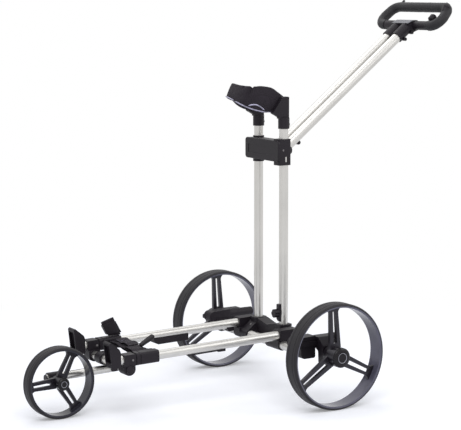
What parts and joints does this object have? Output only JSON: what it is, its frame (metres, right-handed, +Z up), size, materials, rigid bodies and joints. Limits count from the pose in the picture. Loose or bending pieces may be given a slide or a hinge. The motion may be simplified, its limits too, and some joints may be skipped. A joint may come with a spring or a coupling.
{
  "type": "golf push cart",
  "caption": "Three-wheel golf push cart with no bag: folding aluminium frame, spoked wheels, padded bag cradle and foam handle loop.",
  "frame": {"origin": "on the floor, midway along the cart and on its centre plane", "axes": "+X forward to the front wheel, +Y the cart's left, +Z up"},
  "size_m": [1.3117, 0.684, 1.0927],
  "materials": {
    "tube": "satin",
    "black_plastic": "matte",
    "tyre": "matte",
    "steel": "satin",
    "foam": "matte",
    "strap_fabric": "matte",
    "plate": "satin",
    "rubber": "matte"
  },
  "bodies": {
    "chassis": {"lower_tube_left": "tube", "lower_tube_right": "tube", "rear_block_left": "black_plastic", "rear_block_right": "black_plastic", "front_block_left": "black_plastic", "front_block_right": "black_plastic", "bag_rest_left": "black_plastic", "bag_rest_right": "black_plastic", "strap_sleeve_left": "black_plastic", "strap_sleeve_right": "black_plastic", "outrigger_left": "black_plastic", "outrigger_right": "black_plastic", "rear_cross_tube": "tube", "front_cross_tube": "tube", "cross_strap": "strap_fabric", "standing_strap": "strap_fabric", "strap_buckle": "black_plastic", "strap_toggle": "rubber", "under_box": "black_plastic", "under_clip": "black_plastic", "under_strip": "black_plastic", "front_arm_holder": "black_plastic"},
    "front_arm": {"front_arm_tube": "tube", "front_arm_plug": "black_plastic", "front_wheel_clamp": "black_plastic", "front_axle": "steel"},
    "front_wheel": {"front_wheel_tyre": "tyre", "front_wheel_rim": "black_plastic", "front_wheel_hub_cap": "black_plastic"},
    "upright": {"upright_yoke": "black_plastic", "upright_tube_left": "tube", "upright_tube_right": "tube", "bracket_body": "black_plastic", "bracket_cover": "black_plastic", "handle_pivot_pin": "steel", "cradle_arm_left": "black_plastic", "cradle_arm_right": "black_plastic", "cradle_strap": "strap_fabric", "accessory_clamp": "black_plastic"},
    "knob": {"clamp_knob": "black_plastic"},
    "handle": {"handle_tube_left": "tube", "handle_tube_right": "tube", "handle_head": "black_plastic", "head_plate": "plate", "grip_core": "black_plastic", "foam_grip": "foam", "tube_clip": "black_plastic"},
    "left_leg": {"leg_left": "black_plastic", "axle_pin_left": "steel"},
    "left_latch": {"latch_button_left": "black_plastic"},
    "left_wheel": {"left_wheel_tyre": "tyre", "left_wheel_rim": "black_plastic", "left_wheel_hub_cap": "black_plastic"},
    "right_leg": {"leg_right": "black_plastic", "axle_pin_right": "steel"},
    "right_latch": {"latch_button_right": "black_plastic"},
    "right_wheel": {"right_wheel_tyre": "tyre", "right_wheel_rim": "black_plastic", "right_wheel_hub_cap": "black_plastic"}
  },
  "joints": [
    {"name": "left_leg_fold", "type": "hinge", "parent": "chassis", "child": "left_leg", "pos_m": [-0.112, 0.22, 0.176], "axis": [1, 0, 0], "range_deg": [-90, 0]},
    {"name": "left_wheel_spin", "type": "hinge", "parent": "left_leg", "child": "left_wheel", "pos_m": [-0.112, 0.305, 0.145], "axis": [0, 1, 0], "continuous": true},
    {"name": "left_latch_press", "type": "slide", "parent": "left_leg", "child": "left_latch", "axis": [0, 1, 0], "range_m": [-0.004, 0], "stiffness_N_per_m": 400, "springref_m": 0.002},
    {"name": "right_leg_fold", "type": "hinge", "parent": "chassis", "child": "right_leg", "pos_m": [-0.112, -0.22, 0.176], "axis": [1, 0, 0], "range_deg": [0, 90]},
    {"name": "right_wheel_spin", "type": "hinge", "parent": "right_leg", "child": "right_wheel", "pos_m": [-0.112, -0.305, 0.145], "axis": [0, 1, 0], "continuous": true},
    {"name": "right_latch_press", "type": "slide", "parent": "right_leg", "child": "right_latch", "axis": [0, 1, 0], "range_m": [0, 0.004], "stiffness_N_per_m": 400, "springref_m": -0.002},
    {"name": "front_arm_turn", "type": "hinge", "parent": "chassis", "child": "front_arm", "pos_m": [0.47639, -0.043, 0.10209], "axis": [0.9997, 0, -0.0253], "range_deg": [-90, 0]},
    {"name": "front_wheel_spin", "type": "hinge", "parent": "front_arm", "child": "front_wheel", "pos_m": [0.55997, 0, 0.096], "axis": [0, 1, 0], "continuous": true},
    {"name": "upright_fold", "type": "hinge", "parent": "chassis", "child": "upright", "pos_m": [-0.06699, 0, 0.14535], "axis": [0, 1, 0], "range_deg": [0, 78]},
    {"name": "handle_fold", "type": "hinge", "parent": "upright", "child": "handle", "pos_m": [-0.13, 0, 0.678], "axis": [0, 1, 0], "range_deg": [-110, 0]},
    {"name": "clamp_knob_turn", "type": "hinge", "parent": "upright", "child": "knob", "pos_m": [-0.084, 0.065, 0.225], "axis": [1, 0, 0], "continuous": true}
  ]
}
